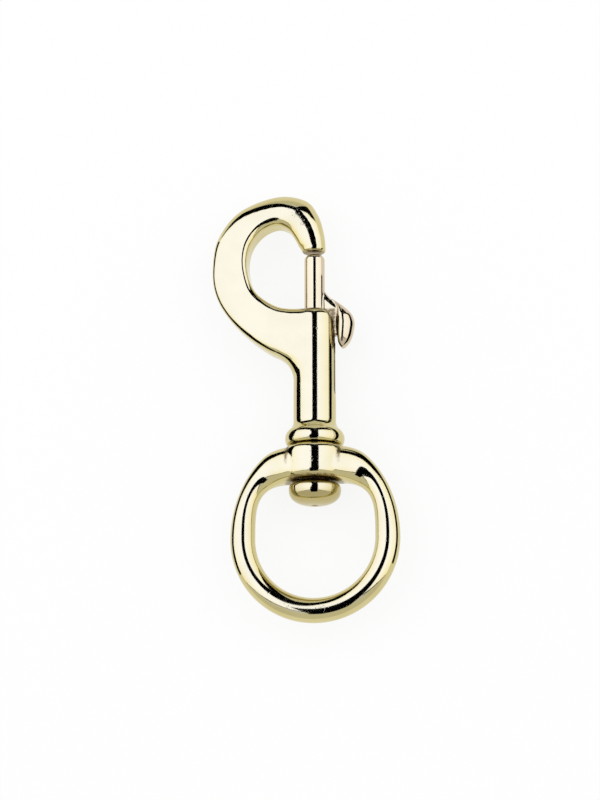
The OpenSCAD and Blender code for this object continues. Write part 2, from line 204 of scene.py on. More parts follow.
# Courses of the two low dark screens beside the snap, each point with the top edge there, in millimetres
RIGHT_FENCE = (
    (32, -38, 9), (34, -28, 9), (31, -14, 9), (23, -3, 9), (20, 8, 9), (21, 22, 9), (22, 34, 9),
)
LEFT_FENCE = (
    (-29, 44, 10.5), (-31, 37, 10.5), (-33, 30, 10.5), (-29, 17, 12), (-23, 11, 16),
    (-22, 4, 16), (-22, -4, 16), (-26, -13, 11), (-30, -28, 10.5), (-28, -40, 10.5),
)
# Lower edge of both screens in millimetres
FENCE_FOOT = 2.5


def length(name, description, default):
    """A size in metres that a user may change."""
    return FloatProperty(name=name, description=description, default=default, min=0.0,
                         unit="LENGTH", precision=5)


def angle(name, description, degrees):
    """An angle that a user may change."""
    return FloatProperty(name=name, description=description, default=math.radians(degrees), subtype="ANGLE")


def tint(name, description, default):
    """A surface colour that a user may change."""
    return FloatVectorProperty(name=name, description=description, default=default,
                               size=3, min=0.0, max=1.0, subtype="COLOR")


def share(name, description, default):
    """A share from nothing to all."""
    return FloatProperty(name=name, description=description, default=default,
                         min=0.0, max=1.0, subtype="FACTOR")


class HookSizes(bpy.types.PropertyGroup):
    """Sizes of the cast hook and its barrel."""

    reach: length("Reach", "Reach of the hook's back from the barrel's axis", 0.0222)
    height: length("Height", "Height of the hook above the top of the barrel", 0.02575)
    root_thick: length("Root thickness", "Thickness of the hook where it leaves the barrel", 0.0084)
    back_thick: length("Back thickness", "Thickness of the hook along its back", 0.0045)
    edge_round: length("Edge rounding", "Unit of the rounding along the hook's edges", 0.001)
    nose_round: length("Nose rounding", "Rounding at the end of the nose", 0.0008)
    barrel_r: length("Barrel radius", "Radius of the barrel", 0.00455)
    barrel_len: length("Barrel length", "Length of the barrel with its collar", 0.03)
    collar_r: length("Collar radius", "Radius of the collar's bead at the foot of the barrel", 0.00635)
    cove_h: length("Cove height", "Height of the cove between the barrel and the bead", 0.0017)
    bead_h: length("Bead height", "Height of the collar's bead", 0.0034)
    bead_r: length("Bead radius", "Radius of the bead's round face", 0.0025)
    bore_r: length("Bore radius", "Radius of the bore that the bolt runs in", 0.00232)
    slot_w: length("Slot width", "Width of the slot that the lever's neck runs in", 0.0026)
    slot_len: length("Slot length", "Length of the slot from the top of the barrel", 0.0191)
    mouth_half: length("Mouth half width", "Half width of the slot's flared mouth", 0.0034)
    mouth_len: length("Mouth length", "Length of the slot's flared mouth", 0.0085)


class BoltSizes(bpy.types.PropertyGroup):
    """Sizes of the sliding bolt, its lever and its spring."""

    radius: length("Radius", "Radius of the sliding bolt", 0.0022)
    tip: length("Tip", "Height of the bolt's tip above the top of the barrel", 0.012393)
    tail: length("Tail", "Length of the bolt below the top of the barrel", 0.0075)
    neck_low: length("Neck depth", "Depth of the neck's foot below the top of the barrel", 0.0059)
    neck_t: length("Neck thickness", "Thickness of the neck between bolt and lever", 0.0022)
    lever_in: length("Lever inside", "Distance from the axis to the lever's inner face", 0.00495)
    lever_reach: length("Lever reach", "Outermost reach of the thumb lever", 0.00867)
    lever_drop: length("Lever drop", "Drop of the lever's tip below the top of the barrel", 0.00885)
    lever_t: length("Lever thickness", "Thickness of the thumb lever", 0.0054)
    wire: length("Wire", "Diameter of the spring wire", 0.0005)
    turns: IntProperty(name="Turns", description="Turns between the spring's closed ends",
                       default=7, min=3, max=12)


class SwivelSizes(bpy.types.PropertyGroup):
    """Sizes of the swivel pin and the eye."""

    journal_r: length("Journal radius", "Radius of the pin where the eye turns on it", 0.003)
    press_depth: length("Press depth", "Depth that the pin is pressed into the barrel", 0.005)
    button_r: length("Button radius", "Radius of the pin's button head", 0.00555)
    button_h: length("Button height", "Height of the pin's button head", 0.0046)
    button_top: length("Button depth", "Depth of the button's shoulder below the top of the barrel", 0.0383)
    dimple_r: length("Dimple radius", "Radius of the centre dimple in the button", 0.0007)
    boss_r: length("Boss radius", "Radius of the eye's boss", 0.0067)
    boss_h: length("Boss height", "Height of the eye's boss", 0.0075)
    boss_top_round: length("Boss top rounding", "Rounding at the top edge of the boss", 0.0016)
    boss_low_round: length("Boss foot rounding", "Rounding at the lower edge of the boss", 0.0017)
    boss_gap: length("Boss gap", "Gap between the boss and the foot of the barrel", 0.0002)
    eye_in_r: length("Eye radius", "Radius inside the eye", 0.0127)
    eye_bar: length("Eye bar", "Diameter of the eye's round bar", 0.0053)
    eye_drop: length("Eye drop", "Distance from the foot of the barrel to the centre of the eye", 0.0198)


class FinishLook(bpy.types.PropertyGroup):
    """Colours and polish of the metal, with painted light on its faces and painted shade on its sides and in
    its corners.
    """

    # Face tints are painted lit copies of each brass and side tints painted shaded copies; the mix follows
    # how a face turns from the view
    cast_tint: tint("Cast brass", "Colour of the buffed faces of the castings", (0.71, 0.68, 0.57))
    shaded_side_tint: tint("Cast sides", "Colour of the castings' sides, which the buff misses", (0.66, 0.58, 0.29))
    bolt_tint: tint("Bolt brass", "Colour of the bolt and its lever, a little redder", (0.715, 0.67, 0.55))
    bolt_shaded_side_tint: tint("Bolt sides", "Colour of the bolt's and lever's sides", (0.68, 0.57, 0.41))
    pin_tint: tint("Pin brass", "Colour of the turned pin", (0.72, 0.67, 0.53))
    pin_shaded_side_tint: tint("Pin sides", "Colour of the pin's button where the buff slid off", (0.52, 0.44, 0.20))
    wire_tint: tint("Spring wire", "Colour of the drawn steel wire", (0.62, 0.62, 0.60))
    # The recess colour is painted shade in corners, creases and hidden seats
    corner_shade_tint: tint("Shade", "Colour of old polish left in the corners", (0.17, 0.11, 0.04))
    polish: share("Polish roughness", "Roughness of the polished faces", 0.07)
    wave: share("Casting wave", "Strength of the slow waves that hand polishing leaves", 0.25)
    pits: share("Casting pits", "Strength of the small pits of the casting", 0.3)


class StageLook(bpy.types.PropertyGroup):
    """Floor, lamps, dark screens and camera."""

    side: angle("Camera side", "Angle of the view to the lever's side", 8)
    below: angle("Camera below", "Angle of the view towards the eye", 14)
    distance: length("Camera distance", "Distance from the camera to the snap", 0.4732)
    lens: FloatProperty(name="Lens", description="Focal length of the camera in millimetres",
                        default=100.0, min=1.0)
    box_level: FloatProperty(name="Softbox level", description="Brightness of the two soft lamps",
                             default=0.65, min=0.0)
    gap: angle("Lamp gap", "Half the angle left dark between the lamps", 13)
    lamp_half: angle("Lamp height", "Half the angle that each lamp covers along the snap", 36)
    flag: length("Flag", "Width of the dark flag along the head side of each lamp", 0.5)
    room: share("Room level", "Brightness of the room around the lamps", 0.75)
    floor_tint: tint("Floor", "Colour of the floor", (0.9, 0.9, 0.9))
    floor_lift: share("Floor lift", "Share of the floor that shows as plain white", 0.85)


def sizes():
    """The three groups of sizes of the current scene."""
    scene = bpy.context.scene
    return scene.snap_hook, scene.snap_bolt, scene.snap_swivel


def axis_place():
    """The barrel's axis at its top edge in the row frame, in millimetres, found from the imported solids."""
    low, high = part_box("swivel_eye")
    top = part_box("hook_body")[1].y - bpy.context.scene.snap_hook.height
    return Vector(((low.x + high.x) / 2, top, (low.z + high.z) / 2)) * MM


def curve_rows(table, steps):
    """Rows on a smooth curve through the rows of a table."""
    rows = np.asarray(table, float)
    last = len(rows) - 1
    out = []
    for k in range(last * steps + 1):
        i = min(k // steps, last - 1)
        t = k / steps - i
        a, b, c, d = (rows[max(0, min(last, i + step))] for step in (-1, 0, 1, 2))
        row = 2 * b + (c - a) * t
        row = row + (2 * a - 5 * b + 4 * c - d) * t ** 2 + (3 * b - a - 3 * c + d) * t ** 3
        out.append(row / 2)
    return out


def corner(count):
    """Angles over a quarter turn."""
    return [math.pi / 2 * j / count for j in range(count + 1)]


def full_turn(count):
    """Angles over a full turn."""
    return [2 * math.pi * j / count for j in range(count)]


def skin(name, rings, closed=False):
    """A closed skin over rings of points, as an object in millimetres on the barrel's axis."""
    count = len(rings[0])
    points = np.concatenate([np.asarray(ring, float) for ring in rings])
    faces = []
    for i in range(len(rings) if closed else len(rings) - 1):
        a, b = i * count, (i + 1) % len(rings) * count
        faces += [(a + j, a + (j + 1) % count, b + (j + 1) % count, b + j) for j in range(count)]
    if not closed:
        faces += [tuple(range(count - 1, -1, -1)), tuple(range(len(points) - count, len(points)))]
    mesh = bpy.data.meshes.new(name)
    mesh.from_pydata(points.tolist(), [], faces)
    work = bmesh.new()
    work.from_mesh(mesh)
    bmesh.ops.recalc_face_normals(work, faces=work.faces)
    bmesh.ops.triangulate(work, faces=[f for f in work.faces if len(f.verts) > 4])
    work.to_mesh(mesh)
    work.free()
    piece = bpy.data.objects.new(name, mesh)
    bpy.context.scene.collection.objects.link(piece)
    return piece


def lathe(name, profile, segments):
    """A turned solid about the barrel's axis from a profile of radius and place along the axis."""
    turn = full_turn(segments)
    return skin(name, [[(r * math.cos(a), v, r * math.sin(a)) for a in turn] for r, v in profile])


def prism(name, outline, low, high):
    """A solid of one outline across and along the barrel, between two distances from its axis."""
    return skin(name, [[(h, p[1], p[0]) for p in outline] for h in (low, high)])


def settle(piece):
    """Applies a piece's modifiers."""
    graph = bpy.context.evaluated_depsgraph_get()
    made = bpy.data.meshes.new_from_object(piece.evaluated_get(graph))
    piece.modifiers.clear()
    old = piece.data
    piece.data = made
    bpy.data.meshes.remove(old)


def join_with(piece, tool, operation):
    """Adds the tool to a piece or cuts it away, and removes the tool."""
    mod = piece.modifiers.new("cut", "BOOLEAN")
    mod.operation = operation
    mod.solver = "EXACT"
    mod.object = tool
    settle(piece)
    shape = tool.data
    bpy.data.objects.remove(tool)
    bpy.data.meshes.remove(shape)
    if not piece.data.polygons:
        raise RuntimeError(f"{piece.name} came out empty")


def neighbours(mesh):
    """Edge ends and the count of neighbours at each vertex."""
    ends = np.empty(len(mesh.edges) * 2, np.int32)
    mesh.edges.foreach_get("vertices", ends)
    ends = ends.reshape(-1, 2)
    count = np.bincount(ends.ravel(), minlength=len(mesh.vertices)).astype(float)
    return ends, np.maximum(count, 1)


def spread(values, ends, count):
    """Mean of the neighbours' values at each vertex."""
    out = np.zeros_like(values)
    for k in range(values.shape[1]):
        out[:, k] = np.bincount(ends[:, 0], values[ends[:, 1], k], len(values))
        out[:, k] += np.bincount(ends[:, 1], values[ends[:, 0], k], len(values))
    return out / count[:, None]


def vertex_points(mesh):
    """Places of a mesh's vertices."""
    out = np.empty(len(mesh.vertices) * 3)
    mesh.vertices.foreach_get("co", out)
    return out.reshape(-1, 3)


def vertex_normals(mesh):
    """Normals at a mesh's vertices."""
    out = np.empty(len(mesh.vertices) * 3)
    mesh.vertex_normals.foreach_get("vector", out)
    return out.reshape(-1, 3)


def cast_skin(piece, grain, soften, fillet):
    """Gives a piece the even skin of a casting: a fine grid, softened edges and filled inner corners."""
    mod = piece.modifiers.new("grid", "REMESH")
    mod.mode = "VOXEL"
    mod.voxel_size = grain
    settle(piece)
    mesh = piece.data
    ends, count = neighbours(mesh)
    points = vertex_points(mesh)
    for _ in range(soften):
        points += EASE_STEP * (spread(points, ends, count) - points)
    mesh.vertices.foreach_set("co", points.ravel())
    mesh.update()
    for _ in range(fillet):
        normals = vertex_normals(mesh)
        lean = spread(points, ends, count) - points
        hollow = np.einsum("ij,ij->i", lean, normals) / grain
        weight = np.clip(hollow * HOLLOW_GAIN - HOLLOW_START, 0, 1)[:, None]
        weight = spread(weight, ends, count)
        points += EASE_STEP * weight * lean
        mesh.vertices.foreach_set("co", points.ravel())
        mesh.update()


def ease(piece, weight, rounds):
    """Eases part of a casting's skin, by a weight from the places of its vertices."""
    mesh = piece.data
    ends, count = neighbours(mesh)
    points = vertex_points(mesh)
    share_of = np.clip(weight(points), 0, 1)[:, None] * EASE_STEP
    for _ in range(rounds):
        points += share_of * (spread(points, ends, count) - points)
    mesh.vertices.foreach_set("co", points.ravel())
    mesh.update()


def mark_light_and_shade(piece, reach, hidden=None):
    """Writes how deep each vertex lies in a corner or hidden seat, for painted shade, and how squarely it
    faces along the view, for painted light on faces and painted shade on sides.
    """
    mesh = piece.data
    ends, count = neighbours(mesh)
    points = vertex_points(mesh)
    slow = points.copy()
    for _ in range(reach):
        slow += EASE_STEP * (spread(slow, ends, count) - slow)
    normals = vertex_normals(mesh)
    depth = np.einsum("ij,ij->i", slow - points, normals)
    if hidden:
        seat = hidden(points, normals).astype(float)[:, None] * SEAT_DEPTH
        for _ in range(SEAT_ROUNDS):
            seat = spread(seat, ends, count)
        depth = np.maximum(depth, seat[:, 0])
    # Painted light: full where a face turns along the view, falling to painted shade on faces turned across
    # or along the snap
    lit = 1 - SHADE_ACROSS * normals[:, 0] ** 2 - SHADE_ALONG * normals[:, 1] ** 2
    for name, value in (("corner_shade", np.clip(depth, 0, None)), ("lit", np.clip(lit, 0, None))):
        layer = mesh.attributes.new(name, "FLOAT", "POINT")
        layer.data.foreach_set("value", value.astype(np.float32))


def set_in_place(piece, body, node, material):
    """Moves a drawn piece to its place in the row frame and hands it to its body, node and slot."""
    piece.data.transform(Matrix.Translation(axis_place()))
    piece.data.transform(Matrix.Scale(1 / MM, 4))
    low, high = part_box(node)
    points = np.clip(vertex_points(piece.data), np.array(low), np.array(high))
    piece.data.vertices.foreach_set("co", points.ravel())
    piece.data.update()
    for face in piece.data.polygons:
        face.use_smooth = True
    piece.data.materials.clear()
    piece.data.materials.append(material)
    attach(piece, body)
    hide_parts(node)


def web_foot(p):
    """How far each point lies in the foot of the web, where the casting is eased."""
    off = [(p[:, k] - WEB_FOOT[k]) / WEB_FOOT_REACH[k] for k in (0, 1)]
    return WEB_FOOT_WEIGHT - np.hypot(*off)


def hook_seats(hook, p, n):
    """Where the hook gets painted shade: inside the barrel's slot, and under the nose."""
    wall, lip = 0.35, 0.4
    inside = (np.hypot(p[:, 0], p[:, 2]) < hook.barrel_r * MM - wall) & (p[:, 1] < -lip)
    deep = np.clip(1 + p[:, 1] / (hook.mouth_len * MM), 0, 1)
    flare = (hook.slot_w / 2 + (hook.mouth_half - hook.slot_w / 2) * deep ** 2) * MM
    side, rim, drop, fade = 2.4, 0.45, 1.2, 0.1
    mouth = (p[:, 0] > side) & (np.abs(p[:, 2]) < flare + rim) & (deep > fade) & (p[:, 1] < -drop)
    nose = HOOK_STATIONS[-1][1] * hook.height * MM
    below, half, inner, facing = 0.6, 0.7, -4, -0.75
    under = (np.abs(p[:, 1] - nose + below) < half) & (p[:, 0] > inner) & (n[:, 1] < facing)
    return inside | mouth | under


def bolt_seat(bolt, p):
    """Where the bolt gets painted shade: on its tail and neck inside the barrel."""
    lip, wall = 0.2, 0.3
    return (p[:, 1] < -lip) & (p[:, 0] < bolt.lever_in * MM - wall)


def eye_seat(swivel, hook, p, n):
    """Where the eye gets painted shade: round the button under the boss, and where its arms leave the boss.
    """
    low = -(hook.barrel_len + swivel.boss_gap + swivel.boss_h) * MM
    inset, half, facing = 0.5, 0.8, -0.5
    near = np.hypot(p[:, 0], p[:, 2]) < swivel.boss_r * MM - inset
    under = near & (np.abs(p[:, 1] - low) < half) & (n[:, 1] < facing)
    start_share, wide, crease_share, flat = 0.35, 0.65, 0.83, 0.7
    taper = np.clip((p[:, 1] - low) / (swivel.boss_h * MM) - start_share, 0, wide)
    crease = (np.abs(np.abs(p[:, 0]) - swivel.boss_r * MM * crease_share) < taper) & (n[:, 1] < flat)
    return under | crease


# Shapes of the pieces


def soft_min(a, b, soft):
    """The smaller of two values, passing smoothly from one to the other."""
    near = max(soft - abs(a - b), 0) / soft
    return min(a, b) - near * near * soft / 4


def signed_power(base, power):
    """Power that keeps the sign of its base."""
    return math.copysign(abs(base) ** power, base)


def cheek(hook, x):
    """Half thickness of the hook's two cheeks, which close in towards its back."""
    back, root = hook.back_thick * MM / 2, hook.root_thick * MM / 2
    return back + (root - back) * min(1, (x + hook.reach * MM) / (hook.reach * MM * CHEEK_SPAN_SHARE))


def hook_ring(row, hook, steps):
    """Rounded section of the hook between its inner and outer edge."""
    reach, height, unit = hook.reach * MM, hook.height * MM, hook.edge_round * MM
    inner = np.array((row[0] * reach, row[1] * height))
    outer = np.array((row[2] * reach, row[3] * height))
    wide = np.linalg.norm(outer - inner)
    way = (outer - inner) / wide
    in_half, out_half = cheek(hook, inner[0]) * row[6], cheek(hook, outer[0]) * row[6]
    in_r, out_r = row[4] * unit, row[5] * unit
    bevel = row[8]
    in_z = min(in_r, in_half * ROUND_LIMIT_SHARE)
    out_z = min(out_r, out_half * ROUND_LIMIT_SHARE) * (1 - bevel) + out_half * BEVEL_DEPTH_SHARE * bevel
    power = 1 / (1 - BEVEL_SHARP_SHARE * bevel)
    span, rise = wide - in_r - out_r, out_half - in_half
    face = [(in_r * (1 - math.cos(a)), in_half - in_z * (1 - math.sin(a))) for a in corner(steps)]
    face += [(in_r + span * k / 6, in_half + rise * k / 6) for k in range(1, 6)]
    face += [(wide - out_r * (1 - math.cos(a) ** power), out_half - out_z * (1 - math.sin(a) ** power))
             for a in reversed(corner(steps))]
    face = [(s, z + row[7] * unit * math.sin(math.pi * s / wide)) for s, z in face]
    up = [(*(inner + way * s), z) for s, z in face]
    return np.array(up + [(x, y, -z) for x, y, z in reversed(up)])


def hook_loft(hook):
    """The hook from inside the barrel round to its nose."""
    rings = [hook_ring(row, hook, 10) for row in curve_rows(HOOK_STATIONS, 14)]
    tip = rings[-1]
    mid = (tip[:, 0].max() + tip[:, 0].min()) / 2
    half = (tip[:, 0].max() - tip[:, 0].min()) / 2
    for a in corner(8)[1:]:
        keep = 1 - hook.nose_round * MM * (1 - math.cos(a)) / half
        ring = tip.copy()
        ring[:, 0] = mid + (tip[:, 0] - mid) * keep
        ring[:, 1] -= hook.nose_round * MM * math.sin(a)
        ring[:, 2] *= keep
        rings.append(ring)
    return skin("hook_casting", rings)


def web_swell(hook):
    """Swelling of the barrel where the web's lower edge runs out on it."""
    rings = []
    for across, along, square in curve_rows(SWELL, 6):
        ring = []
        for a in full_turn(96):
            side = -across * hook.reach * MM if math.cos(a) < 0 else hook.bore_r * MM
            x = side * signed_power(math.cos(a), 2 / square)
            z = cheek(hook, x) * SWELL_INSET_SHARE * signed_power(math.sin(a), 2 / square)
            ring.append((x, along * hook.height * MM, z))
        rings.append(ring)
    return skin("swell", rings)


def barrel_profile(hook):
    """Half outline of the barrel, its cove and its bead, from the top down."""
    r, low = hook.barrel_r * MM, -hook.barrel_len * MM
    collar, cove, bead, round_r = hook.collar_r * MM, hook.cove_h * MM, hook.bead_h * MM, hook.bead_r * MM
    mid = bead * BEAD_MID_SHARE
    first, last = math.asin((bead - mid) / round_r), math.asin(mid / round_r)
    neck = collar - round_r * (1 - math.cos(first))
    top, start = r * LIP_ROUND_SHARE, -r * LIP_DROP_SHARE
    out = [(r * CORE_SHARE, start)]
    out += [(r - top * (1 - math.sin(a)), start - top * (1 - math.cos(a))) for a in corner(12)]
    out += [(r, low * k / 12) for k in range(2, 10)]
    out += [(r + (neck - r) * (k / 16) ** 2, low + bead + cove * (1 - k / 16)) for k in range(16)]
    for k in range(25):
        a = first - (first + last) * k / 24
        out.append((collar - round_r * (1 - math.cos(a)), low + mid + round_r * math.sin(a)))
    return out + [(r * CORE_SHARE, low)]


def mouth_outline(hook):
    """Outline of the slot's flared mouth, across the slot and along the barrel."""
    half, wide, deep = hook.slot_w * MM / 2, hook.mouth_half * MM, hook.mouth_len * MM
    side = [(half + (wide - half) * (k / 16) ** 2, deep * (k / 16 - 1)) for k in range(17)]
    return side + [(wide, OVERRUN), (-wide, OVERRUN)] + [(-z, v) for z, v in reversed(side)]


def slot_outline(hook):
    """Outline of the slot with its round foot."""
    half, low = hook.slot_w * MM / 2, -hook.slot_len * MM
    turn = [math.pi * k / 20 for k in range(21)]
    foot = [(-half * math.cos(a), low + half - half * math.sin(a)) for a in turn]
    return foot + [(half, OVERRUN), (-half, OVERRUN)]


def neck_rings(bolt):
    """Outlines of the lever's neck from back to front, its hollow top edge drawn in to a full round."""
    inside, drop, half = bolt.lever_in * MM, bolt.lever_drop * MM, bolt.neck_t * MM / 2
    a, b, c = (np.array(p) * (inside, drop) for p in NECK_EDGE)
    out, low = inside + (bolt.lever_reach * MM - inside) * NECK_END_SHARE, -bolt.neck_low * MM
    rings = []
    for k in range(17):
        turn = math.pi * (k / 16 - 0.5)
        drawn = half * (1 - math.cos(turn)) * NECK_ROUND_SHARE
        edge = []
        for t in np.linspace(0, 1, 17):
            way = (b - a) * (1 - t) + (c - b) * t
            out_way = np.array((-way[1], way[0])) / np.linalg.norm(way)
            edge.append(tuple(a * (1 - t) ** 2 + b * 2 * t * (1 - t) + c * t * t - out_way * drawn))
        ring = [(0, low), (0, edge[0][1])] + edge + [(out, -drawn), (out, low)]
        rings.append([(x, y, half * math.sin(turn) * (NECK_WAIST_SHARE + NECK_SPREAD_SHARE * x / inside))
                      for x, y in ring])
    return rings


def lever_loft(bolt):
    """The convex thumb lever."""
    inside, drop = bolt.lever_in * MM, bolt.lever_drop * MM
    wide = bolt.lever_reach * MM - inside
    rings = []
    for row in curve_rows(LEVER_ROWS, 8):
        near, far = inside + wide * row[1], inside + wide * row[2]
        half = bolt.lever_t * MM / 2 * row[3]
        ring = []
        for a in full_turn(64):
            lean = ((1 - math.cos(a)) / 2) ** LEVER_LEAN
            ring.append((near + (far - near) * lean, row[0] * drop, half * math.sin(a)))
        rings.append(ring)
    return skin("lever", rings)


def bolt_profile(bolt):
    """Half outline of the bolt, from its tail up to its tip."""
    r, tip, tail = bolt.radius * MM, bolt.tip * MM, -bolt.tail * MM
    edge, dome = r * TIP_ROUND_SHARE, r * TIP_DOME_SHARE
    out = [(r * CORE_SHARE, tail), (r - dome, tail), (r, tail + dome)]
    out += [(r, tail + dome + (tip - dome - edge - tail - dome) * k / 8) for k in range(1, 8)]
    out += [(r - edge * (1 - math.cos(a)), tip - dome - edge * (1 - math.sin(a))) for a in corner(10)]
    flat = r - edge
    return out + [(flat * (1 - k / 8), tip - dome * (1 - k / 8) ** 2) for k in range(1, 8)]


def spring_line(bolt, swivel, hook):
    """Centre line of the spring with a closed coil at each end: angle, radius and place along the barrel."""
    mid_r = bolt.radius * MM - bolt.wire * MM
    low = (swivel.press_depth - hook.barrel_len) * MM + SPRING_GAP + bolt.wire * MM / 2
    high = -bolt.tail * MM - SPRING_GAP - bolt.wire * MM / 2
    turns = bolt.turns + 2 * CLOSED_TURNS
    count = int(turns * 48)
    line = []
    for k in range(count + 1):
        at = turns * k / count
        t = min(max((at - CLOSED_TURNS) / bolt.turns, 0), 1)
        a = 2 * math.pi * at
        line.append((a, mid_r, low + (high - low) * t))
    return line


def pin_profile(swivel, hook):
    """Half outline of the headed pin, from its pressed end down to the button's dimple."""
    low = -hook.barrel_len * MM
    top = low + swivel.press_depth * MM
    shoulder = -swivel.button_top * MM
    foot = shoulder - swivel.button_h * MM
    journal, button = swivel.journal_r * MM, swivel.button_r * MM
    edge, dimple = swivel.button_h * MM * BUTTON_EDGE_SHARE, swivel.dimple_r * MM
    dome = swivel.button_h * MM - edge
    out = [(PRESS_R * CORE_SHARE, top), (PRESS_R - PRESS_CHAMFER, top), (PRESS_R, top - PRESS_CHAMFER),
           (PRESS_R, low + PRESS_STEP), (journal - JOURNAL_EDGE, low), (journal, low - JOURNAL_EDGE),
           (journal, shoulder + HEAD_FILLET), (journal + HEAD_FILLET, shoulder)]
    out += [(button - edge * (1 - math.sin(a)), shoulder - edge * (1 - math.cos(a))) for a in corner(10)]
    last = math.acos((dimple / button) ** (1 / DOME_POWER))
    for k in range(1, 25):
        a = last * k / 24
        out.append((button * math.cos(a) ** DOME_POWER, foot + dome * (1 - math.sin(a) ** DOME_POWER)))
    rim, deep = out[-1][1], dimple * DIMPLE_DEPTH_SHARE
    out += [(dimple * math.cos(a) + DIMPLE_END, rim + deep * math.sin(a)) for a in corner(8)[1:]]
    return out


def eye_rings(swivel, hook):
    """Sections round the eye's bar."""
    mid = -(hook.barrel_len + swivel.eye_drop) * MM
    boss_top = -(hook.barrel_len + swivel.boss_gap) * MM
    boss_low = boss_top - swivel.boss_h * MM
    bar, inside = swivel.eye_bar * MM, swivel.eye_in_r * MM
    arm_top = boss_top - bar * ARM_TOP_SHARE
    outlines = ((inside, boss_low - bar * ARM_FOOT_SHARE - mid, EYE_IN_SQUARE),
                (inside + bar, (boss_top - mid) * EYE_OUT_RISE_SHARE, EYE_OUT_SQUARE))
    rings = []
    for a in full_turn(240):
        c, s = math.cos(a), math.sin(a)
        ends = []
        for r, rise, square in outlines:
            if s > 0:
                high = soft_min(mid + rise * s ** (2 / square), arm_top, bar * ARM_SOFT_SHARE)
                ends.append(np.array((signed_power(c, 2 / square) * r, high)))
            else:
                ends.append(np.array((r * c, mid + r * s)))
        centre, half = (ends[0] + ends[1]) / 2, (ends[1] - ends[0]) / 2
        arm = max(0, s) ** ARM_START
        deep = bar / 2 * (1 + ARM_DEEP_SHARE * arm)
        power = 2 / (2 + ARM_SQUARE * arm)
        ring = []
        for b in full_turn(64):
            across = signed_power(math.cos(b), power)
            ring.append((*(centre + half * across), deep * signed_power(math.sin(b), power)))
        rings.append(ring)
    return rings


def boss_profile(swivel, hook):
    """Half outline of the eye's boss."""
    r, soft, low_soft = swivel.boss_r * MM, swivel.boss_top_round * MM, swivel.boss_low_round * MM
    top = -(hook.barrel_len + swivel.boss_gap) * MM
    low = top - swivel.boss_h * MM
    out = [(r * CORE_SHARE, top)]
    out += [(r - soft * (1 - math.sin(a)), top - soft * (1 - math.cos(a))) for a in corner(10)]
    out += [(r - low_soft * (1 - math.cos(a)), low + low_soft * (1 - math.sin(a))) for a in corner(10)]
    return out + [(r * CORE_SHARE, low)]


# Finish of the metal, with painted light and shade


def new_group(name, inputs, outputs):
    """An empty shader group with named sockets, and its two end nodes."""
    group = bpy.data.node_groups.new(name, "ShaderNodeTree")
    for kind, label, value in inputs:
        socket = group.interface.new_socket(label, in_out="INPUT", socket_type=kind)
        if value is not None:
            socket.default_value = value
    for kind, label in outputs:
        group.interface.new_socket(label, in_out="OUTPUT", socket_type=kind)
    return group, group.nodes.new("NodeGroupInput"), group.nodes.new("NodeGroupOutput")


def math_node(tree, operation, a, b):
    """A Math node whose two inputs are sockets or numbers."""
    node = tree.nodes.new("ShaderNodeMath")
    node.operation = operation
    for socket, value in zip(node.inputs, (a, b)):
        if isinstance(value, (int, float)):
            socket.default_value = value
        else:
            tree.links.new(value, socket)
    return node.outputs[0]


def noise_node(tree, place, scale, detail, rough=0.5):
    """A Noise texture read at a place."""
    node = tree.nodes.new("ShaderNodeTexNoise")
    node.inputs["Scale"].default_value = scale
    node.inputs["Detail"].default_value = detail
    node.inputs["Roughness"].default_value = rough
    tree.links.new(place, node.inputs["Vector"])
    return node.outputs["Fac"]


def range_node(tree, value, low, high, to_low, to_high):
    """A Map Range node."""
    node = tree.nodes.new("ShaderNodeMapRange")
    for label, number in (("From Min", low), ("From Max", high), ("To Min", to_low), ("To Max", to_high)):
        node.inputs[label].default_value = number
    tree.links.new(value, node.inputs["Value"])
    return node.outputs["Result"]


def mix_colour(tree, factor, a, b):
    """A colour mix by a factor socket."""
    node = tree.nodes.new("ShaderNodeMix")
    node.data_type = "RGBA"
    tree.links.new(factor, node.inputs["Factor"])
    for label, value in (("A", a), ("B", b)):
        socket = [s for s in node.inputs if s.name == label and s.type == "RGBA"][0]
        if isinstance(value, (tuple, list)):
            socket.default_value = (*value, 1)
        else:
            tree.links.new(value, socket)
    return [s for s in node.outputs if s.type == "RGBA"][0]


def polish_wave_group():
    """Height of the slow waves and small pits that polishing leaves on a casting."""
    found = bpy.data.node_groups.get("polish_wave")
    if found:
        return found
    group, start, end = new_group(
        "polish_wave",
        (("NodeSocketFloat", "Wave", 0.2), ("NodeSocketFloat", "Pits", 0.3)),
        (("NodeSocketFloat", "Height"),))
    place = group.nodes.new("ShaderNodeTexCoord").outputs["Object"]
    wave = noise_node(group, place, 260, 2)
    fine = noise_node(group, place, 1100, 3)
    pit = range_node(group, noise_node(group, place, 2300, 1), 0.28, 0.36, -1.0, 0.0)
    rare = range_node(group, noise_node(group, place, 330, 2), 0.52, 0.66, 0.0, 1.0)
    high = math_node(group, "ADD", wave, math_node(group, "MULTIPLY", fine, 0.12))
    high = math_node(group, "MULTIPLY", high, start.outputs["Wave"])
    deep = math_node(group, "MULTIPLY", math_node(group, "MULTIPLY", pit, rare), start.outputs["Pits"])
    group.links.new(math_node(group, "ADD", high, deep), end.inputs["Height"])
    return group


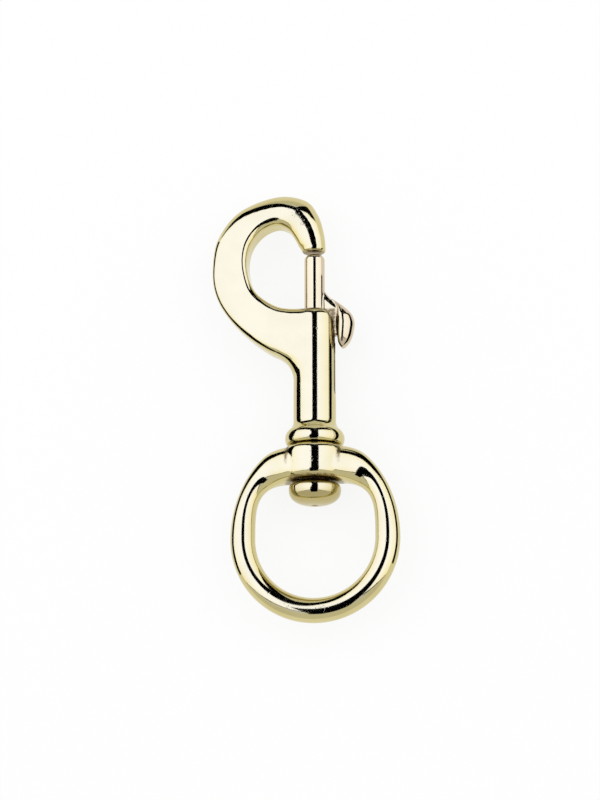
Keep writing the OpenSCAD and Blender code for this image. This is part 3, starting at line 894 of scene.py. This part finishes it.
def brass_tone_group():
    """Colour and roughness of the brass with painted light and shade: pale lit faces, shaded sides, painted
    shade in the corners.
    """
    found = bpy.data.node_groups.get("brass_tone")
    if found:
        return found
    group, start, end = new_group(
        "brass_tone",
        (("NodeSocketColor", "Brass", (0.8, 0.7, 0.5, 1)), ("NodeSocketColor", "Side", (0.6, 0.5, 0.3, 1)),
         ("NodeSocketColor", "Shade", (0.2, 0.1, 0.05, 1)), ("NodeSocketFloat", "Depth", 0.0),
         ("NodeSocketFloat", "Lit", 1.0), ("NodeSocketFloat", "Polish", 0.07)),
        (("NodeSocketColor", "Color"), ("NodeSocketFloat", "Roughness")))
    place = group.nodes.new("ShaderNodeTexCoord").outputs["Object"]
    cloud = range_node(group, noise_node(group, place, 180, 3), 0.35, 0.7, 0.0, 1.0)
    fleck = range_node(group, noise_node(group, place, 1500, 2), 0.4, 0.75, 0.0, 1.0)
    darker = group.nodes.new("ShaderNodeHueSaturation")
    darker.inputs["Saturation"].default_value = 1.06
    darker.inputs["Value"].default_value = 0.95
    # Painted light and shade: faces turned along the view take the lit colour, the sides the shaded colour
    face = range_node(group, start.outputs["Lit"], 0.45, 0.95, 0.0, 1.0)
    brass_tone = mix_colour(group, face, start.outputs["Side"], start.outputs["Brass"])
    group.links.new(brass_tone, darker.inputs["Color"])
    tone = mix_colour(group, cloud, brass_tone, darker.outputs["Color"])
    # Painted shade: darker the deeper a vertex lies in a corner or hidden seat
    painted_shade = math_node(group, "MULTIPLY", start.outputs["Depth"], math_node(group, "ADD", fleck, 0.5))
    painted_shade = range_node(group, painted_shade, 0.02, 0.2, 0.0, 0.8)
    tone = mix_colour(group, painted_shade, tone, start.outputs["Shade"])
    group.links.new(tone, end.inputs["Color"])
    rough = math_node(group, "ADD", start.outputs["Polish"], math_node(group, "MULTIPLY", cloud, 0.02))
    rough = math_node(group, "ADD", rough, math_node(group, "MULTIPLY", painted_shade, 0.3))
    group.links.new(math_node(group, "MAXIMUM", rough, 0.03), end.inputs["Roughness"])
    return group


def use_group(tree, group, values):
    """Places a group in a material with its own values."""
    node = tree.nodes.new("ShaderNodeGroup")
    node.node_tree = group
    for label, value in values.items():
        if isinstance(value, (int, float)):
            node.inputs[label].default_value = value
        elif isinstance(value, bpy.types.NodeSocket):
            tree.links.new(value, node.inputs[label])
        else:
            node.inputs[label].default_value = (*value, 1)
    return node


def mesh_value(tree, name):
    """A value written on the mesh."""
    node = tree.nodes.new("ShaderNodeAttribute")
    node.attribute_name = name
    return node.outputs["Fac"]


def brass(name, colour, side, wave=1.0, pits=1.0):
    """Polished brass with the tone and waves of its piece."""
    look = bpy.context.scene.snap_finish
    material = bpy.data.materials.new(name)
    material.use_nodes = True
    tree = material.node_tree
    shader = tree.nodes["Principled BSDF"]
    shader.inputs["Metallic"].default_value = 1.0
    shader.inputs["IOR"].default_value = 1.5
    # The tone group paints light on faces turned along the view, and shade on the sides, in corners and in
    # hidden seats
    tone = use_group(tree, brass_tone_group(), {
        "Brass": tuple(colour), "Side": tuple(side), "Shade": tuple(look.corner_shade_tint),
        "Depth": mesh_value(tree, "corner_shade"), "Lit": mesh_value(tree, "lit"), "Polish": look.polish})
    tree.links.new(tone.outputs["Color"], shader.inputs["Base Color"])
    tree.links.new(tone.outputs["Roughness"], shader.inputs["Roughness"])
    height = use_group(tree, polish_wave_group(), {"Wave": look.wave * wave, "Pits": look.pits * pits})
    bump = tree.nodes.new("ShaderNodeBump")
    bump.inputs["Strength"].default_value = 0.12
    bump.inputs["Distance"].default_value = 0.0004
    tree.links.new(height.outputs["Height"], bump.inputs["Height"])
    tree.links.new(bump.outputs["Normal"], shader.inputs["Normal"])
    return material


def drawn_wire():
    """Drawn steel wire with a cloudy sheen."""
    look = bpy.context.scene.snap_finish
    material = bpy.data.materials.new("drawn_wire")
    material.use_nodes = True
    tree = material.node_tree
    shader = tree.nodes["Principled BSDF"]
    shader.inputs["Metallic"].default_value = 1.0
    place = tree.nodes.new("ShaderNodeTexCoord").outputs["Object"]
    cloud = noise_node(tree, place, 900, 3)
    tone = mix_colour(tree, cloud, tuple(look.wire_tint), tuple(0.8 * c for c in look.wire_tint))
    tree.links.new(tone, shader.inputs["Base Color"])
    tree.links.new(range_node(tree, cloud, 0.3, 0.7, 0.22, 0.36), shader.inputs["Roughness"])
    return material


# Stage


def aim(piece, at, towards, up=(0, 1, 0)):
    """Places an object at a point with its -Z towards another."""
    back = (Vector(at) - Vector(towards)).normalized()
    right = Vector(up).cross(back).normalized()
    turn = Matrix((right, back.cross(right), back)).transposed().to_4x4()
    turn.translation = Vector(at)
    piece.matrix_world = turn


def from_camera(across, along):
    """Direction at an angle to the camera's: across to +X and along to +Y."""
    look = bpy.context.scene.snap_stage
    a, b = look.side + across, along - look.below
    way = Vector((math.tan(a), math.tan(b), 1.0))
    return way.normalized()


def plain(name, colour):
    """A plain matt material for the stage."""
    material = bpy.data.materials.new(name)
    material.use_nodes = True
    shader = material.node_tree.nodes["Principled BSDF"]
    shader.inputs["Base Color"].default_value = (*colour, 1)
    shader.inputs["Roughness"].default_value = 1.0
    shader.inputs["Specular IOR Level"].default_value = 0.0
    return material


def card(name, corners, material):
    """A flat or bent card of the stage, seen only in reflections."""
    mesh = bpy.data.meshes.new(name)
    count = len(corners) // 2
    faces = [(2 * k, 2 * k + 1, 2 * k + 3, 2 * k + 2) for k in range(count - 1)]
    mesh.from_pydata([tuple(c) for c in corners], [], faces)
    piece = bpy.data.objects.new(name, mesh)
    bpy.context.scene.collection.objects.link(piece)
    mesh.materials.append(material)
    piece.visible_camera = False
    piece.visible_diffuse = False
    piece.visible_shadow = False
    return piece


def soft_lamp(name, middle, wide, long, level):
    """A soft lamp of an even brightness that faces the snap."""
    lamp = bpy.data.lights.new(name, "AREA")
    lamp.shape = "RECTANGLE"
    lamp.size, lamp.size_y = wide, long
    lamp.energy = level * math.pi * wide * long
    piece = bpy.data.objects.new(name, lamp)
    bpy.context.scene.collection.objects.link(piece)
    aim(piece, middle, (0, 0, 0))
    piece.visible_camera = False
    return piece


def fence(course):
    """Corners of an upright card along a course given in millimetres."""
    return [(x / MM, y / MM, z / MM) for x, y, top in course for z in (FENCE_FOOT, top)]


def camera_strip(look):
    """Corners of the dark strip between the lamps, wider towards both ends."""
    strip = []
    for k in range(17):
        along = STRIP_HEAD + (STRIP_FOOT - STRIP_HEAD) * k / 16
        wide = look.gap + math.radians(STRIP_FLARE) * min(1, abs(along - STRIP_MID) / STRIP_PLAIN) ** 2
        strip += [from_camera(across, math.radians(along)) * STRIP_FAR for across in (-wide, look.gap)]
    return strip


def flagged_lamp(look, side, name, dark):
    """One soft lamp on a side of the snap, with dark flags along its head and foot edges."""
    near, outer = look.side + side * look.gap, side * math.radians(LAMP_OUTER)
    mid, half = (near + outer) / 2, abs(outer - near) / 2
    rise = math.tan(math.radians(LAMP_RISE))
    way = Vector((math.sin(mid), math.cos(mid) * rise, math.cos(mid))).normalized()
    wide, long = LAMP_FAR * math.tan(half), LAMP_FAR * math.tan(look.lamp_half)
    lamp = soft_lamp(name, way * LAMP_FAR, 2 * wide, 2 * long, look.box_level)
    start = long * FLAG_START_SHARE
    head = [(x, start + y) for x in (-HEAD_FLAG_SHARE, HEAD_FLAG_SHARE) for y in (0, look.flag)]
    foot_ends = ((side * FOOT_FLAG_SHARE, 0.0), (-side, FOOT_FLAG_WIDE_SHARE))
    foot = [(x, -start - y) for x, share_of in foot_ends for y in (0, look.flag * share_of)]
    for place, edge in (("head", head), ("foot", foot)):
        corners = [lamp.matrix_world @ Vector((wide * x, y, -FLAG_GAP)) for x, y in edge]
        card(f"{name}_{place}_flag", corners, dark)


def white_floor():
    """Floor that shows white and keeps the snap's shadow."""
    look = bpy.context.scene.snap_stage
    material = plain("pale_floor", look.floor_tint)
    tree = material.node_tree
    shader, out = tree.nodes["Principled BSDF"], tree.nodes["Material Output"]
    path = tree.nodes.new("ShaderNodeLightPath")
    seen = math_node(tree, "MAXIMUM", path.outputs["Is Camera Ray"], path.outputs["Is Glossy Ray"])
    seen = math_node(tree, "MAXIMUM", seen, path.outputs["Is Transmission Ray"])
    lift = math_node(tree, "MULTIPLY", seen, look.floor_lift)
    glow = tree.nodes.new("ShaderNodeEmission")
    mix = tree.nodes.new("ShaderNodeMixShader")
    tree.links.new(lift, mix.inputs["Fac"])
    tree.links.new(shader.outputs[0], mix.inputs[1])
    tree.links.new(glow.outputs[0], mix.inputs[2])
    tree.links.new(mix.outputs[0], out.inputs["Surface"])
    mesh = bpy.data.meshes.new("floor")
    half = FLOOR_HALF
    corners = [(-half, -half, 0), (half, -half, 0), (half, half, 0), (-half, half, 0)]
    mesh.from_pydata(corners, [], [(0, 1, 2, 3)])
    mesh.materials.append(material)
    floor = bpy.data.objects.new("floor", mesh)
    bpy.context.scene.collection.objects.link(floor)


def set_camera():
    """Camera at the photograph's angle."""
    look = bpy.context.scene.snap_stage
    lens = bpy.data.cameras.new("view")
    lens.lens, lens.sensor_width = look.lens, SENSOR_WIDTH
    lens.clip_start, lens.clip_end = 0.01, 20.0
    piece = bpy.data.objects.new("view", lens)
    bpy.context.scene.collection.objects.link(piece)
    back = Vector((math.sin(look.side), -math.sin(look.below), 0))
    back.z = math.sqrt(1 - back.length_squared)
    right = Vector((0, 1, 0)).cross(back).normalized()
    up = back.cross(right)
    aimed = Vector((0, 0, AIM_HEIGHT)) + (up - right) * AIM_SHIFT
    turn = Matrix((right, up, back)).transposed().to_4x4()
    turn.translation = aimed + back * look.distance
    piece.matrix_world = turn
    bpy.context.scene.camera = piece


# Operators


class BOLTSNAP_OT_hook(bpy.types.Operator):
    """Cast the hook with its web, barrel and collar"""

    bl_idname = "boltsnap.hook"
    bl_label = "Hook casting"

    def execute(self, context):
        hook = context.scene.snap_hook
        piece = hook_loft(hook)
        join_with(piece, web_swell(hook), "UNION")
        join_with(piece, lathe("barrel", barrel_profile(hook), 128), "UNION")
        low, r = -hook.barrel_len * MM - OVERRUN, hook.bore_r * MM
        join_with(piece, lathe("bore", [(r, low), (r, OVERRUN)], 64), "DIFFERENCE")
        join_with(piece, prism("slot", slot_outline(hook), 0, SLOT_REACH), "DIFFERENCE")
        mouth_start = hook.barrel_r * MM * MOUTH_START_SHARE
        join_with(piece, prism("mouth", mouth_outline(hook), mouth_start, SLOT_REACH), "DIFFERENCE")
        cast_skin(piece, *CAST_GRID)
        ease(piece, web_foot, WEB_FOOT_ROUNDS)
        mark_light_and_shade(piece, CAST_CORNERS, lambda p, n: hook_seats(hook, p, n))
        look = context.scene.snap_finish
        set_in_place(piece, "hook", "hook_body",
                     brass("polished_hook", look.cast_tint, look.shaded_side_tint))
        return {"FINISHED"}


class BOLTSNAP_OT_bolt(bpy.types.Operator):
    """Cast the sliding bolt with its neck and thumb lever"""

    bl_idname = "boltsnap.bolt"
    bl_label = "Bolt casting"

    def execute(self, context):
        bolt = context.scene.snap_bolt
        piece = lathe("bolt_casting", bolt_profile(bolt), 96)
        join_with(piece, skin("neck", neck_rings(bolt)), "UNION")
        join_with(piece, lever_loft(bolt), "UNION")
        cast_skin(piece, *BOLT_GRID)
        mark_light_and_shade(piece, BOLT_CORNERS, lambda p, n: bolt_seat(bolt, p))
        look = context.scene.snap_finish
        set_in_place(piece, "bolt", "bolt",
                     brass("polished_bolt", look.bolt_tint, look.bolt_shaded_side_tint))
        return {"FINISHED"}


class BOLTSNAP_OT_spring(bpy.types.Operator):
    """Wind the spring under the bolt"""

    bl_idname = "boltsnap.spring"
    bl_label = "Spring wire"

    def execute(self, context):
        hook, bolt, swivel = sizes()
        half = bolt.wire * MM / 2
        rings = []
        for a, r, v in spring_line(bolt, swivel, hook):
            wire = [(r + half * math.cos(b), v + half * math.sin(b)) for b in full_turn(16)]
            rings.append([(out * math.cos(a), along, out * math.sin(a)) for out, along in wire])
        piece = skin("spring_wire", rings)
        set_in_place(piece, "hook", "bolt_spring", drawn_wire())
        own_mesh(piece)
        return {"FINISHED"}


class BOLTSNAP_OT_pin(bpy.types.Operator):
    """Turn the headed swivel pin"""

    bl_idname = "boltsnap.pin"
    bl_label = "Swivel pin"

    def execute(self, context):
        hook, _bolt, swivel = sizes()
        piece = lathe("turned_pin", pin_profile(swivel, hook), 160)
        mark_light_and_shade(piece, PIN_CORNERS)
        look = context.scene.snap_finish
        set_in_place(piece, "hook", "swivel_pin",
                     brass("turned_brass", look.pin_tint, look.pin_shaded_side_tint, 0.5, 0.3))
        return {"FINISHED"}


class BOLTSNAP_OT_eye(bpy.types.Operator):
    """Cast the swivel eye with its boss"""

    bl_idname = "boltsnap.eye"
    bl_label = "Eye casting"

    def execute(self, context):
        hook, _bolt, swivel = sizes()
        piece = skin("eye_casting", eye_rings(swivel, hook), closed=True)
        join_with(piece, lathe("boss", boss_profile(swivel, hook), 128), "UNION")
        top = -hook.barrel_len * MM + 2 * OVERRUN
        low, r = top - swivel.boss_h * MM - 4 * OVERRUN, swivel.journal_r * MM + EYE_BORE_CLEAR
        join_with(piece, lathe("eye_bore", [(r, low), (r, top)], 64), "DIFFERENCE")
        cast_skin(piece, *CAST_GRID)
        mark_light_and_shade(piece, CAST_CORNERS, lambda p, n: eye_seat(swivel, hook, p, n))
        look = context.scene.snap_finish
        set_in_place(piece, "eye", "swivel_eye",
                     brass("polished_eye", look.cast_tint, look.shaded_side_tint))
        return {"FINISHED"}


class BOLTSNAP_OT_stage(bpy.types.Operator):
    """Set the floor, the lamps, the dark screens and the camera"""

    bl_idname = "boltsnap.stage"
    bl_label = "Stage"

    def execute(self, context):
        look = context.scene.snap_stage
        context.scene.view_settings.view_transform = "Standard"
        white_floor()
        world = bpy.data.worlds.new("room")
        world.use_nodes = True
        grey = (look.room, look.room, look.room, 1)
        world.node_tree.nodes["Background"].inputs["Color"].default_value = grey
        context.scene.world = world
        dark = plain("black_cloth", (0.0, 0.0, 0.0))
        for side, name in ((-1, "left_lamp"), (1, "right_lamp")):
            flagged_lamp(look, side, name, dark)
        card("camera_screen", camera_strip(look), dark)
        card("right_screen", fence(RIGHT_FENCE), dark)
        card("left_screen", fence(LEFT_FENCE), dark)
        set_camera()
        return {"FINISHED"}


class BOLTSNAP_PT_panel(bpy.types.Panel):
    """Lists the snap's pieces and their sizes"""

    bl_label = "Bolt snap"
    bl_idname = "BOLTSNAP_PT_panel"
    bl_space_type = "VIEW_3D"
    bl_region_type = "UI"
    bl_category = "Bolt snap"

    def draw(self, context):
        layout = self.layout
        for operator in OPERATORS:
            layout.operator(operator.bl_idname)
        for group in PROPERTY_NAMES:
            box = layout.box()
            settings = getattr(context.scene, group)
            for name in settings.__annotations__:
                box.prop(settings, name)


GROUPS = (HookSizes, BoltSizes, SwivelSizes, FinishLook, StageLook)
PROPERTY_NAMES = ("snap_hook", "snap_bolt", "snap_swivel", "snap_finish", "snap_stage")
OPERATORS = (BOLTSNAP_OT_hook, BOLTSNAP_OT_bolt, BOLTSNAP_OT_spring, BOLTSNAP_OT_pin, BOLTSNAP_OT_eye,
             BOLTSNAP_OT_stage)


def register():
    """Adds the settings, operators and panel."""
    for group, name in zip(GROUPS, PROPERTY_NAMES):
        bpy.utils.register_class(group)
        setattr(bpy.types.Scene, name, PointerProperty(type=group))
    for operator in (*OPERATORS, BOLTSNAP_PT_panel):
        bpy.utils.register_class(operator)


def unregister():
    """Takes the settings, operators and panel away."""
    for operator in reversed((*OPERATORS, BOLTSNAP_PT_panel)):
        bpy.utils.unregister_class(operator)
    for group, name in zip(GROUPS, PROPERTY_NAMES):
        delattr(bpy.types.Scene, name)
        bpy.utils.unregister_class(group)


def main():
    """Builds every piece and the stage."""
    register()
    bpy.ops.boltsnap.hook()
    bpy.ops.boltsnap.bolt()
    bpy.ops.boltsnap.spring()
    bpy.ops.boltsnap.pin()
    bpy.ops.boltsnap.eye()
    bpy.ops.boltsnap.stage()


if __name__ == "__main__":
    main()
